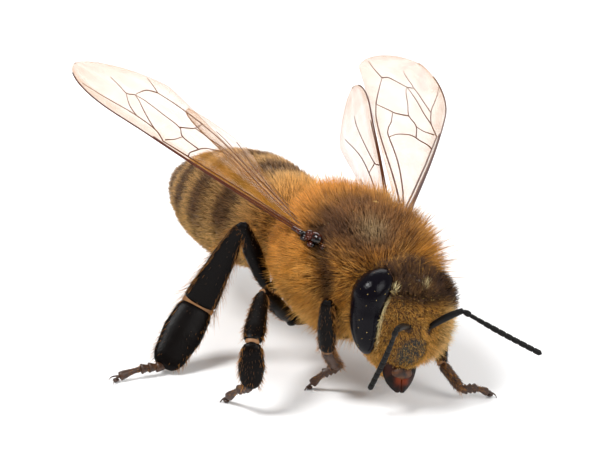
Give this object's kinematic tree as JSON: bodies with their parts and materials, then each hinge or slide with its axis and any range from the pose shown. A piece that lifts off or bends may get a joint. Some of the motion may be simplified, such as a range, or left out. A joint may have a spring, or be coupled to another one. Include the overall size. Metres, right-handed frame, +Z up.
{
  "type": "honey bee",
  "caption": "Life-size still model of a worker honey bee standing with its wings half raised, for a natural history display.",
  "frame": {"origin": "middle of the footprint of the whole model, on the floor its feet stand on", "axes": "+Z up, the bee faces -Y, its right side is toward -X"},
  "size_m": [0.0144, 0.0154, 0.0083],
  "materials": {
    "coat_thorax": "dense golden brown hair",
    "coat_head": "short yellow brown hair over dark skin",
    "coat_abdomen": "tan hair bands over brown and dark plates",
    "eye": "near black, fine facets, glossy",
    "dark_plate": "black brown shell, satin gloss",
    "antenna": "black with a grey sheen",
    "mouthpart": "reddish brown, polished",
    "foot": "brown, finely haired",
    "wing": "clear amber membrane with brown veins"
  },
  "bodies": {
    "root": {"abdomen_segment_1": "coat_abdomen", "abdomen_segment_2": "coat_abdomen", "abdomen_segment_3": "coat_abdomen", "abdomen_segment_4": "coat_abdomen", "abdomen_segment_5": "coat_abdomen", "abdomen_segment_6": "coat_abdomen", "basitarsus_fore_left": "dark_plate", "basitarsus_fore_right": "dark_plate", "basitarsus_hind_left": "dark_plate", "basitarsus_hind_right": "dark_plate", "basitarsus_middle_left": "dark_plate", "basitarsus_middle_right": "dark_plate", "compound_eye_left": "eye", "compound_eye_right": "eye", "coxa_fore_left": "dark_plate", "coxa_fore_right": "dark_plate", "coxa_hind_left": "dark_plate", "coxa_hind_right": "dark_plate", "coxa_middle_left": "dark_plate", "coxa_middle_right": "dark_plate", "femur_fore_left": "dark_plate", "femur_fore_right": "dark_plate", "femur_hind_left": "dark_plate", "femur_hind_right": "dark_plate", "femur_middle_left": "dark_plate", "femur_middle_right": "dark_plate", "flagellum_left": "antenna", "flagellum_right": "antenna", "forewing_left": "wing", "forewing_right": "wing", "head": "coat_head", "hindwing_left": "wing", "hindwing_right": "wing", "labrum": "mouthpart", "mandible_left": "mouthpart", "mandible_right": "mouthpart", "pedicel_left": "antenna", "pedicel_right": "antenna", "proboscis": "mouthpart", "scape_left": "antenna", "scape_right": "antenna", "tarsus_fore_left": "foot", "tarsus_fore_right": "foot", "tarsus_hind_left": "foot", "tarsus_hind_right": "foot", "tarsus_middle_left": "foot", "tarsus_middle_right": "foot", "tegula_left": "dark_plate", "tegula_right": "dark_plate", "thorax": "coat_thorax", "tibia_fore_left": "dark_plate", "tibia_fore_right": "dark_plate", "tibia_hind_left": "dark_plate", "tibia_hind_right": "dark_plate", "tibia_middle_left": "dark_plate", "tibia_middle_right": "dark_plate"}
  },
  "joints": []
}
